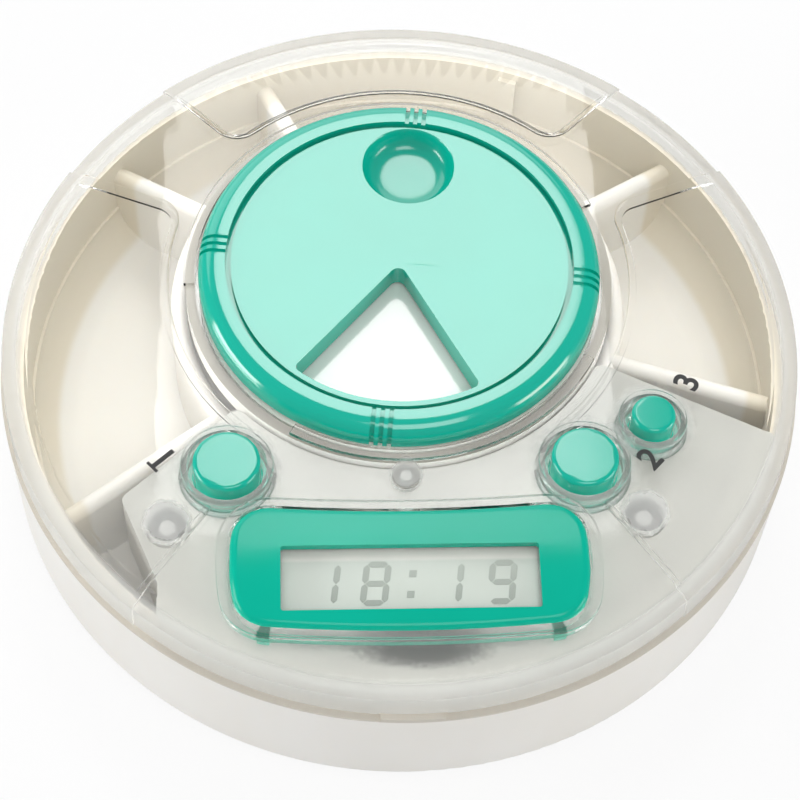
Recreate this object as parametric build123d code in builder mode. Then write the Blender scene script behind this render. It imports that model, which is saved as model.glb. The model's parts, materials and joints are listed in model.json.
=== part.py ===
"""Round pill box with a timer.

A white tray with pill compartments carries a clear cover. The cover holds a hand-turned dial with a
wedge window over a central store, and a clock with its display, three buttons, buzzer and coin cell.

Millimetres, +Z up. The origin is on the table, under the middle of the tray. The display faces -Y.
"""
import os
from math import copysign, cos, radians, sin

from build123d import *

os.makedirs("parts", exist_ok=True)

# ---------------------------------------------------------------- driving dimensions
# tray
tray_radius = 65.2
tray_height = 21.0           # top of the rim above the table
tray_draft = 0.2             # how much narrower the wall is at the table
tray_edge = 1.0              # rounding where the wall meets the underside
foot_stand = 0.4             # the feet hold the underside this far off the table
tray_floor = 2.4             # thickness under the compartments
scoop_radius = 8.0           # curve between floor and outer wall
ledge = 0.5                  # small step where the scoop meets the upper wall
lip_thickness = 1.3
lip_height = 1.5             # the lip stands this far above the rim, inside the cover
divider_thickness = 3.0
divider_drop = 1.4           # dividers and well wall end this far below the rim
divider_angles = (30.0, 116.0, 150.0, 217.0, 341.0)
catch_angle = 70.0           # rib on the outer wall
catch_width = 3.2
catch_depth = 1.0
foot_radius = 5.0
foot_thickness = 1.4
foot_setback = 13.2          # from the tray's wall to the middle of a foot
foot_angles = (45.0, 135.0, 225.0, 315.0)

# cover
cover_inset = 0.7            # the skirt stands this far inside the tray's wall
cover_height = 6.5           # from the tray's rim to the flat top of the cover
cover_wall = 1.6
cover_gap = 0.3              # open seam between tray rim and cover
crease_band = 4.0            # width of the sloping band where the flat top turns down
crease_drop = 1.0            # fall of that band
shoulder_radius = 0.9
skirt_draft = 0.3            # the skirt is this much narrower at the shoulder
panel_rise = 0.5             # the three panels stand this far proud
panel_reach = 0.2            # and this far outside the skirt
panel_clearance = 4.9        # from the dial's edge to the panels
panel_corner = 4.5
panel_edge = 0.3
panel_spans = ((44.6, 135.3), (-55.0, 20.9), (158.3, 235.0))  # sides, as angles about the dial's axis
lip_spans = ((22.6, 183.0), (-121.0, -29.0))
lip_gap = 0.6                # from the dial to the low raised lips round it
lip_width = 1.8
lip_rise = 0.8
notch_width = 10.4           # finger notch at the front of the seam
notch_height = 1.0

# dial, its hole and the plate under it
front_room = 43.1            # from the dial to the cover's front edge: display and buttons
back_room = 19.9             # from the dial to the cover's back edge
dial_turn = -7.0             # rest position, turned about its axis
dial_lift = 0.3              # running gap over the cover
dial_rise = 4.3              # top of the dial's rim above the cover
rim_width = 4.5
rim_side = 1.0               # upright part of the rim's outer wall
rim_slope = 2.8              # the rim's top is this much narrower than its widest edge
groove_width = 0.9
groove_depth = 1.5
disc_drop = 0.5              # the disc inside the groove is lower than the rim
disc_dish = 0.3              # and a little lower still in the middle
disc_thickness = 4.4
skin = 1.8                   # wall round the window in the hollow underside
recess_depth = 2.3
window_span = 68.0           # opening angle of the wedge window
window_gap = 0.9             # from the groove to the window
window_apex = 1.4
window_corner = 1.0
window_angle = -90.0         # middle of the window before the dial is turned
dimple_angle = 91.0
dimple_radius = 7.7
dimple_depth = 3.3
dimple_setback = 8.0         # from the groove to the middle of the dimple
grip_angles = (-90.0, 0.0, 90.0, 180.0)
grip_width = 0.7
grip_depth = 0.5
grip_pitch = 1.4
dial_overhang = 1.5          # the dial is this much wider than its hole
dial_fit = 0.08
store_reach = 2.0            # the central store is this much wider than the dial
spigot_wall = 2.1
retainer_thickness = 1.1
retainer_reach = 1.6         # how far the retainer reaches under the cover
plate_thickness = 1.4
plate_gap = 0.5              # between plate and dial
plate_rim = 1.6
outlet_span = 60.0
outlet_angle = 90.0
outlet_inner = 4.0
outlet_gap = 3.0             # from the outlet to the raised edge of the plate

# display
display_setback = 20.5       # from the cover's front edge to the middle of the display frame
bezel_front_corner = (6.0, -8.2)  # past the window's end, and from the frame's middle
bezel_back_corner = (6.3, 12.0)
bezel_side = 7.8             # the bowed sides reach this far past the window's end
bezel_front = 9.6            # and this far from the frame's middle
bezel_back = 10.6
bezel_corner = 6.0
bezel_edge = 1.3             # rounding of the frame's top edge
bezel_rise = 2.5             # top of the frame above the cover
bezel_crown = 72.0           # the top is bowed from front to back with this radius
crown_back = 3.0             # and highest this far behind the frame's middle
bezel_fit = 0.3              # gap between frame and cover
tab_reach = 1.5              # the frame's four snap tabs reach this far under the cover
tab_thickness = 1.0
tab_width = 1.9
tab_place = 2.7              # past the window's end
surround_width = 2.0         # clear surround outside the frame
surround_rise = 1.5
surround_edge = 0.4
window_width = 39.4
window_height = 10.6
lcd_forward = 1.1            # the window is this far in front of the frame's middle
window_plate = 1.3           # thickness of the frame over the display
lens_thickness = 0.6
lens_margin = 0.9
lens_side_margin = 1.4
lcd_thickness = 1.6
pocket_gap = 0.4
connector_inset = 2.1        # the connector is this much shorter at each end than the display
connector_width = 1.8

# buttons
large_button = 5.3           # radius
small_button = 3.5
large_button_side = 8.3      # its middle is this far past the window's end
small_button_side = 19.7
large_button_gap = 12.92     # from the dial to its middle
small_button_gap = 15.8
button_rise = 2.8            # above the cover
button_round = 0.7
button_fit = 0.3
button_travel = 0.9
button_flange = 0.9
button_rest = 0.2            # play between flange and collar
collar_rise = 1.3
collar_depth = 1.6           # the collar's tube reaches this far under the cover
collar_wall = 1.0
collar_edge = 0.3
cup_gap = 1.0                # width of the ring-shaped cup round a button
cup_depth = 1.5              # from the top of the cover to the floor of that cup
flange_reach = 0.7
pad_wall = 0.8
pad_step = 0.9               # the silicone ring is this much narrower than its button
stem_radius = 1.2

# circuit board and its parts
board_drop = 6.5             # from the top of the cover to the board
board_thickness = 1.6
board_gap = 0.5
contact_radius = 1.5
contact_height = 0.15
contact_split = 0.4
stem_gap = 0.1               # what is left between stem and contact at full travel
chip_radius = 4.6
chip_height = 1.7
chip_place = (8.0, 9.0)
crystal_radius = 1.5
crystal_length = 6.0
crystal_place = (8.0, -6.0)
capacitor_size = (3.2, 1.6, 1.4)
capacitor_places = ((-25.0, 3.0), (-25.0, -0.5), (36.0, 6.0))
buzzer_radius = 9.0
buzzer_height = 2.8
buzzer_place = (22.0, 4.0)
sound_hole_radius = 0.9

# electronics housing
housing_depth = 17.5         # from the top of the cover to the bottom of the bay
housing_wall = 1.5
housing_gap = 3.3            # from the tray's wall to the bay
housing_well_gap = 1.5       # from the tray's central well to the housing
housing_span = (222.0, 333.0)
housing_corner = 1.5
housing_overrun = 2.0        # the left side is this much longer than the bay's radius
housing_slant = (-38.5, 0.5)  # where the slanting front left side meets the front
sheet_thickness = 1.0        # frosted panel on top of the housing
sheet_gap = 0.5              # from the cover's skirt to that panel
boss_places = ((-37.2, 9.9), (36.9, 10.5))
boss_radius = 3.0
boss_depth = 6.3             # from the top of the cover to the lower end of a boss
front_boss = (0.0, 18.0)
front_boss_radius = 2.2
hole_gap = 0.4
pillar_wall = 0.9            # round the screw head's bore in a pillar
pilot_radius = 1.3
screw_play = 0.05
screw_head_radius = 2.1
screw_head_height = 1.5
screw_reach = 3.2            # thread length inside the clear boss
screw_web = 4.0              # pillar material under the boss that the screw clamps
post_radius = 2.4
post_places = ((-31.5, 4.0), (14.0, -6.0), (46.0, 19.0))
board_screw_radius = 0.9
board_screw_bore = 5.0
board_screw_grip = 4.0       # thread length in the post
small_head_radius = 1.7      # heads of the board's and the frosted panel's screws
small_head_height = 1.2
panel_screw_grip = 1.6

# coin cell
cell_radius = 10.0
cell_thickness = 3.2
cell_place = (-8.0, 1.0)
cell_gap = 0.2
holder_wall = 1.4
holder_play = 0.3
holder_gap = 0.4             # from the cap to the holder
contact_width = 4.0
contact_sheet = 0.4
leaf_foot = (-7.0, -4.0)     # the upper contact's foot and tip, from the cell's middle
leaf_tip = (1.0, 4.0)
cap_radius = 11.6
cap_thickness = 2.6
cap_play = 0.3
cap_tab = 1.6                # bayonet tabs reach this far past the cap
cap_tab_width = 6.0
cap_tab_height = 0.9
cap_turn = 40.0
slot_width = 1.8
slot_depth = 1.0
slot_length = 15.0

# ---------------------------------------------------------------- worked out from them
cover_radius = tray_radius - cover_inset
cover_top = tray_height + cover_height
crease_radius = cover_radius - crease_band
dial_radius = cover_radius - (front_room + back_room) / 2
dial_offset = (front_room - back_room) / 2
dial_top = cover_top + dial_rise
dial_hole_radius = dial_radius - dial_overhang
well_radius = dial_radius + store_reach
lip_inner = dial_radius + lip_gap
lip_outer_edge = lip_inner + lip_width
divider_height = tray_height - divider_drop
foot_circle = tray_radius - foot_setback
floor_top = foot_stand + tray_floor
skirt_inner = cover_radius - cover_wall
lip_outer = skirt_inner - cover_gap
tray_inner = lip_outer - lip_thickness
scoop_inner = tray_inner - ledge
scoop_top = floor_top + scoop_radius
dial_axis = (0.0, dial_offset)
cover_under = cover_top - cover_wall
skirt_bottom = tray_height + cover_gap
panel_inner = dial_radius + panel_clearance
dial_bottom = cover_top + dial_lift
disc_top = dial_top - disc_drop
disc_bottom = disc_top - disc_thickness
rim_inner = dial_radius - rim_width
disc_radius = rim_inner - groove_width
dimple_distance = disc_radius - dimple_setback
window_radius = disc_radius - window_gap
spigot_outer = dial_hole_radius - dial_fit
spigot_inner = spigot_outer - spigot_wall
retainer_top = cover_under - dial_lift
retainer_bottom = retainer_top - retainer_thickness
retainer_outer = dial_hole_radius + retainer_reach
plate_top = disc_bottom - plate_gap
plate_inner = spigot_inner - 2 * button_fit
channel_top = retainer_bottom - plate_gap
plate_outer = retainer_outer + plate_gap + plate_rim
sheet_inner = plate_outer + plate_gap
housing_bottom = cover_top - housing_depth
housing_radius = tray_inner - housing_gap
housing_side = housing_radius + housing_overrun
housing_inner = well_radius + divider_thickness + housing_well_gap
boss_bottom = cover_top - boss_depth
board_top = cover_top - board_drop
bezel_top = cover_top + bezel_rise
surround_top = cover_top + surround_rise
bezel_bottom = cover_under - tab_thickness
sheet_bottom = bezel_bottom - sheet_thickness
board_bottom = board_top - board_thickness
lens_top = bezel_top - window_plate
lcd_top = lens_top - lens_thickness
lcd_bottom = lcd_top - lcd_thickness
lcd_width = window_width + 2 * lens_side_margin
lcd_height = window_height + 2 * lens_margin
connector_length = lcd_width - 2 * connector_inset
button_top = cover_top + button_rise
collar_top = cover_top + collar_rise
cup_floor = cover_top - cup_depth
collar_bottom = cover_under - collar_depth
flange_top = collar_bottom - button_rest
flange_bottom = flange_top - button_flange
stem_bottom = board_top + contact_height + button_travel + stem_gap
floor_inside = housing_bottom + housing_wall
pillar_radius = screw_head_radius + button_fit + pillar_wall
head_top = boss_bottom - screw_web
cap_top = housing_bottom + cap_thickness
cell_bottom = cap_top + cell_gap
cell_top = cell_bottom + cell_thickness
holder_bottom = cap_top + holder_gap

# places in the display's group
display_middle = display_setback - cover_radius


def in_group(*places):
    """Places measured from the middle of the display frame, moved to where the frame is."""
    return tuple((x, y + display_middle) for x, y in places)


def by_dial(side, gap):
    """Place at a distance to the side of the window's end and a gap in front of the dial."""
    x = window_end + side
    return x, dial_offset - ((dial_radius + gap) ** 2 - x**2) ** 0.5


window_end = window_width / 2
bezel_half_width = window_end + bezel_side
(front_x, front_y), (back_x, back_y) = bezel_front_corner, bezel_back_corner
front_x, back_x = window_end + front_x, window_end + back_x
bezel_corners = in_group((-front_x, front_y), (front_x, front_y), (back_x, back_y), (-back_x, back_y))
bezel_mids = in_group((0, -bezel_front), (bezel_half_width, 0), (0, bezel_back), (-bezel_half_width, 0))
lcd_center = display_middle - lcd_forward
large_x, large_y = by_dial(large_button_side, large_button_gap)
button_places = {
    "button_1": (-large_x, large_y, large_button),
    "button_2": (large_x, large_y, large_button),
    "button_3": (*by_dial(small_button_side, small_button_gap), small_button),
}
boss_places = in_group(*boss_places)
post_places = in_group(*post_places)
capacitor_places = in_group(*capacitor_places)
front_boss, housing_slant, chip_place, crystal_place, buzzer_place, cell_place = in_group(
    front_boss, housing_slant, chip_place, crystal_place, buzzer_place, cell_place)
board_screw_places = (post_places[0], post_places[2])


def polar(angle, radius, middle=(0.0, 0.0)):
    """Point at an angle and a radius about a middle, in plan."""
    return (middle[0] + radius * cos(radians(angle)), middle[1] + radius * sin(radians(angle)))


def sector(span, height=0.0, reach=120.0):
    """Plan sketch of everything between two angles about the dial's axis."""
    first, last = span
    steps = 6
    rays = [polar(first + (last - first) * step / steps, reach, dial_axis) for step in range(steps + 1)]
    with BuildSketch(Plane.XY.offset(height)) as shape:
        with BuildLine():
            Polyline(dial_axis, *rays, close=True)
        make_face()
    return shape.sketch


def bezel_outline(height, grow=0.0):
    """Pillow outline of the display frame, grown by a margin."""
    (side_x, side_y), (_, front_y) = bezel_mids[1], bezel_mids[0]
    corners = [(copysign(abs(x) + grow, x), y + copysign(grow, y - side_y)) for x, y in bezel_corners]
    mids = [(0, front_y - grow), (side_x + grow, side_y), (0, bezel_mids[2][1] + grow), (-side_x - grow, side_y)]
    with BuildSketch(Plane.XY.offset(height)) as shape:
        with BuildLine():
            for first, middle, last in zip(corners, mids, corners[1:] + corners[:1]):
                ThreePointArc(first, middle, last)
        make_face()
        fillet(shape.vertices(), bezel_corner + grow)
    return shape.sketch


def housing_outline(height, inner, inset=0.0, outer=None):
    """Plan of the electronics bay between the central well and the tray's front wall."""
    with BuildSketch(Plane.XY.offset(height)) as shape:
        Circle(outer or housing_radius)
        add(sector(housing_span, height), mode=Mode.INTERSECT)
        with Locations(dial_axis):
            Circle(inner, mode=Mode.SUBTRACT)
        with BuildLine():
            far = 2 * housing_radius
            start = polar(housing_span[0], housing_side, dial_axis)
            Polyline(start, housing_slant, (housing_slant[0], -far), (-far, -far), (-far, start[1]), close=True)
        make_face(mode=Mode.SUBTRACT)
        fillet(shape.vertices(), housing_corner)
        if inset:
            offset(amount=-inset)
    return shape.sketch


def cap_profile(radius, top, crease, bottom, drop, rounding):
    """Half section of a shallow round cap with a sloping band at its edge."""
    with BuildSketch(Plane.XZ) as section:
        with BuildLine():
            upper = (radius - skirt_draft, top - drop)
            Polyline((0, bottom), (0, top), (crease, top), upper, (radius, bottom), close=True)
        make_face()
        shoulder = section.vertices().sort_by_distance((*upper[:1], 0, upper[1]))[0]
        fillet(shoulder, rounding)
    return section.sketch


def panel_block(span, radius, top, crease, inset, edge):
    """Raised sector of the cover, or the hollow that follows it when an inset is given."""
    with BuildPart() as block:
        with BuildSketch(Plane.XY.offset(skirt_bottom)) as plan:
            Circle(1.5 * tray_radius)
            add(sector(span, skirt_bottom, 3 * tray_radius), mode=Mode.INTERSECT)
            with Locations(dial_axis):
                Circle(panel_inner, mode=Mode.SUBTRACT)
            inner = plan.vertices().sort_by_distance((*dial_axis, skirt_bottom))[:2]
            fillet(inner, panel_corner)
            if inset:
                offset(amount=-inset)
        extrude(amount=3 * tray_height)
        with BuildPart(mode=Mode.PRIVATE) as cap:
            add(cap_profile(radius, top, crease, skirt_bottom, crease_drop, shoulder_radius))
            revolve(axis=Axis.Z)
        add(cap.part, mode=Mode.INTERSECT)
        if edge:
            fillet(block.faces().sort_by(Axis.Z)[-1].edges(), edge)
    return block.part


# ---------------------------------------------------------------- tray
with BuildPart() as base_tray:
    foot_edge = tray_radius - tray_draft
    with BuildSketch(Plane.XZ):
        with BuildLine():
            Line((0, foot_stand), (foot_edge - tray_edge, foot_stand))
            TangentArc((foot_edge - tray_edge, foot_stand), (foot_edge, foot_stand + tray_edge), tangent=(1, 0))
            Polyline(
                (foot_edge, foot_stand + tray_edge),
                (tray_radius, tray_height),
                (lip_outer, tray_height),
                (lip_outer, tray_height + lip_height),
                (tray_inner, tray_height + lip_height),
                (tray_inner, scoop_top),
                (scoop_inner, scoop_top),
            )
            TangentArc((scoop_inner, scoop_top), (scoop_inner - scoop_radius, floor_top), tangent=(0, -1))
            Polyline((scoop_inner - scoop_radius, floor_top), (0, floor_top), (0, foot_stand))
        make_face()
    revolve(axis=Axis.Z)
    # dividers run outwards from the well, with rounded tops
    straight = divider_height - divider_thickness / 2
    root = foot_stand + tray_floor / 2
    for angle in divider_angles:
        along = Plane(
            origin=(*polar(angle, well_radius + divider_thickness / 2, dial_axis), 0),
            x_dir=(-sin(radians(angle)), cos(radians(angle)), 0),
            z_dir=(cos(radians(angle)), sin(radians(angle)), 0),
        )
        with BuildPart(mode=Mode.PRIVATE) as divider:
            with BuildSketch(along):
                with Locations((0, (straight + root) / 2)):
                    Rectangle(divider_thickness, straight - root)
                with Locations((0, straight)):
                    Circle(divider_thickness / 2)
            extrude(amount=tray_radius)
            with BuildSketch():
                Circle(tray_inner + lip_thickness / 2)
            extrude(amount=tray_height, mode=Mode.INTERSECT)
        add(divider.part)
    # wall of the central well
    with BuildPart(mode=Mode.PRIVATE) as well:
        with BuildSketch(Plane.XZ):
            middle = well_radius + divider_thickness / 2
            with Locations((middle, (straight + root) / 2)):
                Rectangle(divider_thickness, straight - root)
            with Locations((middle, straight)):
                Circle(divider_thickness / 2)
        revolve(axis=Axis.Z)
    add(well.part.moved(Location((*dial_axis, 0))))
    # rib on the outer wall
    with BuildSketch(Plane.XY.offset(scoop_top)):
        with PolarLocations(tray_inner - catch_depth + 1, 1, catch_angle):
            Rectangle(2.0, catch_width)
    extrude(amount=tray_height - scoop_top)
    # tab that stands in the cover's finger notch
    with BuildSketch(Plane.XY.offset(tray_height - 1)):
        Circle(tray_radius)
        Circle(lip_outer - cover_gap, mode=Mode.SUBTRACT)
        with Locations((0, -tray_radius)):
            Rectangle(notch_width - 2 * cover_gap, tray_radius, mode=Mode.INTERSECT)
    extrude(amount=1 + notch_height - cover_gap)
    # recesses for the feet
    with BuildSketch(Plane.XY.offset(foot_stand)):
        for angle in foot_angles:
            with Locations(polar(angle, foot_circle)):
                Circle(foot_radius + cover_gap / 2)
    extrude(amount=foot_thickness - foot_stand, mode=Mode.SUBTRACT)
base_tray.part.label = "base_tray"

with BuildPart() as rubber_feet:
    with BuildSketch():
        for angle in foot_angles:
            with Locations(polar(angle, foot_circle)):
                Circle(foot_radius)
    extrude(amount=foot_thickness)
    fillet(rubber_feet.edges().group_by(Axis.Z)[0], foot_stand * 0.8)
rubber_feet.part.label = "rubber_feet"

# ---------------------------------------------------------------- clear cover
with BuildPart() as clear_cover:
    add(cap_profile(cover_radius, cover_top, crease_radius, skirt_bottom, crease_drop, shoulder_radius))
    revolve(axis=Axis.Z)
    for span in panel_spans:
        add(panel_block(span, cover_radius + panel_reach, cover_top + panel_rise, crease_radius, 0, panel_edge))
    # lips round the dial, button collars and the display's surround
    for span in lip_spans:
        with BuildSketch(Plane.XY.offset(cover_under)):
            with Locations(dial_axis):
                Circle(lip_outer_edge)
                Circle(lip_inner, mode=Mode.SUBTRACT)
            add(sector(span, cover_under), mode=Mode.INTERSECT)
        extrude(amount=cover_wall + lip_rise)
    for x, y, radius in button_places.values():
        with BuildPart(mode=Mode.PRIVATE) as collar:
            with Locations((x, y, cover_under)):
                Cylinder(radius + cup_gap + collar_wall, collar_top - cover_under,
                         align=(Align.CENTER, Align.CENTER, Align.MIN))
            fillet(collar.edges().group_by(Axis.Z)[-1], collar_edge)
        add(collar.part)
    with BuildPart(mode=Mode.PRIVATE) as surround:
        add(bezel_outline(cover_under, surround_width))
        extrude(amount=surround_top - cover_under)
        fillet(surround.edges().group_by(Axis.Z)[-1], surround_edge)
    add(surround.part)
    # hollow underside, deeper under the panels
    with BuildPart(mode=Mode.PRIVATE) as hollow:
        with BuildSketch(Plane.XZ):
            with BuildLine():
                Polyline(
                    (0, skirt_bottom - 1),
                    (0, cover_under),
                    (crease_radius - cover_wall / 2, cover_under),
                    (skirt_inner, cover_under - crease_drop),
                    (skirt_inner, skirt_bottom - 1),
                    close=True,
                )
            make_face()
        revolve(axis=Axis.Z)
    add(hollow.part, mode=Mode.SUBTRACT)
    for span in panel_spans:
        under = panel_block(span, skirt_inner, cover_under + panel_rise, crease_radius - cover_wall / 2,
                            cover_wall - panel_rise / 2, 0)
        add(under, mode=Mode.SUBTRACT)
    # under the top: collar tubes and screw bosses
    with BuildSketch(Plane.XY.offset(collar_bottom)):
        for x, y, radius in button_places.values():
            with Locations((x, y)):
                Circle(radius + cup_gap + collar_wall)
    extrude(amount=cover_top - collar_bottom)
    with BuildSketch(Plane.XY.offset(boss_bottom)):
        with Locations(*boss_places):
            Circle(boss_radius)
    extrude(amount=cover_top - boss_bottom)
    with BuildSketch(Plane.XY.offset(bezel_bottom)):
        with Locations(front_boss):
            Circle(front_boss_radius)
    extrude(amount=cover_top - bezel_bottom)
    # openings
    with BuildSketch(Plane.XY.offset(boss_bottom)):
        with Locations(*boss_places):
            Circle(pilot_radius)
    extrude(amount=screw_reach + cover_gap, mode=Mode.SUBTRACT)
    with BuildSketch(Plane.XY.offset(bezel_bottom)):
        with Locations(front_boss):
            Circle(board_screw_radius + screw_play)
    extrude(amount=cover_wall / 2 + tab_thickness, mode=Mode.SUBTRACT)
    with BuildSketch(Plane.XY.offset(skirt_bottom)):
        with Locations(dial_axis):
            Circle(dial_hole_radius)
        for x, y, radius in button_places.values():
            with Locations((x, y)):
                Circle(radius + button_fit)
        add(bezel_outline(skirt_bottom, bezel_fit))
    extrude(amount=tray_height, mode=Mode.SUBTRACT)
    with BuildSketch(Plane.XY.offset(cup_floor)):
        for x, y, radius in button_places.values():
            with Locations((x, y)):
                Circle(radius + cup_gap)
    extrude(amount=tray_height, mode=Mode.SUBTRACT)
    # finger notch at the front of the skirt
    with BuildSketch(Plane.XY.offset(skirt_bottom)):
        with Locations((0, -tray_radius)):
            Rectangle(notch_width, tray_radius / 2)
        Circle(lip_outer, mode=Mode.SUBTRACT)
    extrude(amount=notch_height, mode=Mode.SUBTRACT)
clear_cover.part.label = "clear_cover"

# ---------------------------------------------------------------- plate under the dial
with BuildPart() as outlet_plate:
    with BuildSketch(Plane.XZ):
        with BuildLine():
            channel_outer = plate_outer - plate_rim
            Polyline(
                (0, plate_top),
                (plate_inner, plate_top),
                (plate_inner, channel_top),
                (channel_outer, channel_top),
                (channel_outer, cover_under),
                (plate_outer, cover_under),
                (plate_outer, channel_top - plate_thickness),
                (plate_inner - plate_thickness, channel_top - plate_thickness),
                (plate_inner - plate_thickness, plate_top - plate_thickness),
                (0, plate_top - plate_thickness),
                close=True,
            )
        make_face()
    revolve(axis=Axis.Z)
    with BuildSketch(Plane.XY.offset(channel_top - plate_thickness)) as outlet:
        Circle(plate_inner - outlet_gap)
        Circle(outlet_inner, mode=Mode.SUBTRACT)
        sides = (outlet_angle - outlet_span / 2, outlet_angle + outlet_span / 2)
        opening = sector(sides, channel_top - plate_thickness)
        add(opening.moved(Location((0, -dial_offset, 0))), mode=Mode.INTERSECT)
        fillet(outlet.vertices(), window_corner)
    extrude(amount=tray_height, mode=Mode.SUBTRACT)
outlet_plate.part.move(Location((*dial_axis, 0)))
outlet_plate.part.label = "outlet_plate"

# ---------------------------------------------------------------- dial
with BuildPart() as selector_dial:
    with BuildSketch(Plane.XZ) as dial_section:
        with BuildLine():
            ThreePointArc(
                (0, disc_top - disc_dish),
                (disc_radius / 2, disc_top - 0.75 * disc_dish),
                (disc_radius, disc_top),
            )
            Polyline(
                (disc_radius, disc_top),
                (disc_radius, dial_top - groove_depth),
                (rim_inner, dial_top - groove_depth),
                (rim_inner, dial_top),
                (dial_radius - rim_slope, dial_top),
            )
            JernArc((dial_radius - rim_slope, dial_top), (1, 0), rim_slope, -90)
            Polyline(
                (dial_radius, dial_top - rim_slope),
                (dial_radius, dial_bottom),
                (spigot_outer, dial_bottom),
                (spigot_outer, retainer_top),
                (spigot_inner, retainer_top),
                (spigot_inner, disc_bottom),
                (0, disc_bottom),
                (0, disc_top - disc_dish),
            )
        make_face()
    revolve(axis=Axis.Z)
    # grip grooves across the rim
    with BuildPart(mode=Mode.PRIVATE) as grips:
        with BuildSketch(Plane.XY.offset(dial_bottom - 1)):
            for angle in grip_angles:
                for step in (-1, 0, 1):
                    with Locations(Location((0, 0, 0), (0, 0, angle))):
                        with Locations((rim_inner + dial_radius / 2 - grip_depth, step * grip_pitch)):
                            Rectangle(dial_radius, grip_width)
        extrude(amount=tray_height)
        with BuildPart(mode=Mode.PRIVATE) as core:
            with BuildSketch(Plane.XZ):
                with BuildLine():
                    inset_top = dial_top - grip_depth
                    inset_radius = dial_radius - grip_depth
                    inset_start = inset_radius - rim_slope
                    Line((0, inset_top), (inset_start, inset_top))
                    JernArc((inset_start, inset_top), (1, 0), rim_slope, -90)
                    Polyline(
                        (inset_radius, inset_top - rim_slope),
                        (inset_radius, disc_bottom - 5),
                        (0, disc_bottom - 5),
                        (0, inset_top),
                    )
                make_face()
            revolve(axis=Axis.Z)
        add(core.part, mode=Mode.SUBTRACT)
    add(grips.part, mode=Mode.SUBTRACT)
    # thumb dimple
    ball = (dimple_radius**2 + dimple_depth**2) / (2 * dimple_depth)
    with Locations((*polar(dimple_angle, dimple_distance), disc_top - disc_dish / 2 - dimple_depth + ball)):
        Sphere(ball, mode=Mode.SUBTRACT)
    # hollow underside with walls left round the window and the dimple
    half = window_span / 2
    opening = sector((window_angle - half, window_angle + half), disc_bottom)
    opening = opening.moved(Location((0, -dial_offset, 0)))
    with BuildSketch(Plane.XY.offset(disc_bottom)) as window:
        Circle(window_radius)
        add(opening, mode=Mode.INTERSECT)
        inner = window.vertices().sort_by_distance((0, 0, disc_bottom))
        fillet(inner[0], window_apex)
        fillet(window.vertices().sort_by_distance((0, 0, disc_bottom))[-2:], window_corner)
    with BuildSketch(Plane.XY.offset(disc_bottom)):
        Circle(window_radius - skin / 2)
        add(offset(window.sketch, amount=skin, mode=Mode.PRIVATE), mode=Mode.SUBTRACT)
        with Locations(polar(dimple_angle, dimple_distance)):
            Circle(dimple_radius + skin, mode=Mode.SUBTRACT)
    extrude(amount=recess_depth, mode=Mode.SUBTRACT)
    add(window.sketch)
    extrude(amount=2 * disc_thickness, mode=Mode.SUBTRACT)
selector_dial.part.move(Location((*dial_axis, 0), (0, 0, dial_turn)))
selector_dial.part.label = "selector_dial"

with BuildPart() as dial_retainer:
    with BuildSketch(Plane.XY.offset(retainer_bottom)):
        with Locations(dial_axis):
            Circle(retainer_outer)
            Circle(spigot_inner, mode=Mode.SUBTRACT)
    extrude(amount=retainer_thickness)
dial_retainer.part.label = "dial_retainer"

# ---------------------------------------------------------------- display
with BuildPart() as display_bezel:
    add(bezel_outline(cover_under))
    extrude(amount=bezel_top - cover_under)
    with BuildSketch(Plane.YZ.offset(-bezel_half_width)):
        with Locations((display_middle + crown_back, bezel_top - bezel_crown)):
            Circle(bezel_crown)
    extrude(amount=2 * bezel_half_width, mode=Mode.INTERSECT)
    fillet(display_bezel.faces().filter_by(GeomType.CYLINDER).sort_by(SortBy.AREA)[-1].edges(), bezel_edge)
    add(bezel_outline(bezel_bottom))
    extrude(amount=tab_thickness)
    with BuildSketch(Plane.XY.offset(bezel_bottom)):
        with Locations(*((side * (window_end + tab_place), display_middle) for side in (-1, 1))):
            Rectangle(tab_width, 2 * bezel_half_width)
        add(bezel_outline(bezel_bottom, tab_reach), mode=Mode.INTERSECT)
    extrude(amount=tab_thickness)
    with BuildSketch(Plane.XY.offset(bezel_bottom)):
        with Locations((0, lcd_center)):
            Rectangle(lcd_width + 2 * pocket_gap, lcd_height + 2 * pocket_gap)
    extrude(amount=lens_top - bezel_bottom, mode=Mode.SUBTRACT)
    with BuildSketch(Plane.XY.offset(bezel_bottom)) as view:
        with Locations((0, lcd_center)):
            Rectangle(window_width, window_height)
        fillet(view.vertices(), pocket_gap)
    extrude(amount=tray_height, mode=Mode.SUBTRACT)
display_bezel.part.label = "display_bezel"

with BuildPart() as display_lens:
    with Locations((0, lcd_center, lcd_top)):
        Box(lcd_width, lcd_height, lens_thickness, align=(Align.CENTER, Align.CENTER, Align.MIN))
display_lens.part.label = "display_lens"

with BuildPart() as lcd_panel:
    with Locations((0, lcd_center, lcd_bottom)):
        Box(lcd_width, lcd_height, lcd_thickness, align=(Align.CENTER, Align.CENTER, Align.MIN))
lcd_panel.part.label = "lcd_panel"

with BuildPart() as lcd_connector:
    with Locations((0, lcd_center - (lcd_height - connector_width) / 2, board_top)):
        Box(connector_length, connector_width, lcd_bottom - board_top,
            align=(Align.CENTER, Align.CENTER, Align.MIN))
lcd_connector.part.label = "lcd_connector"

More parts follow.
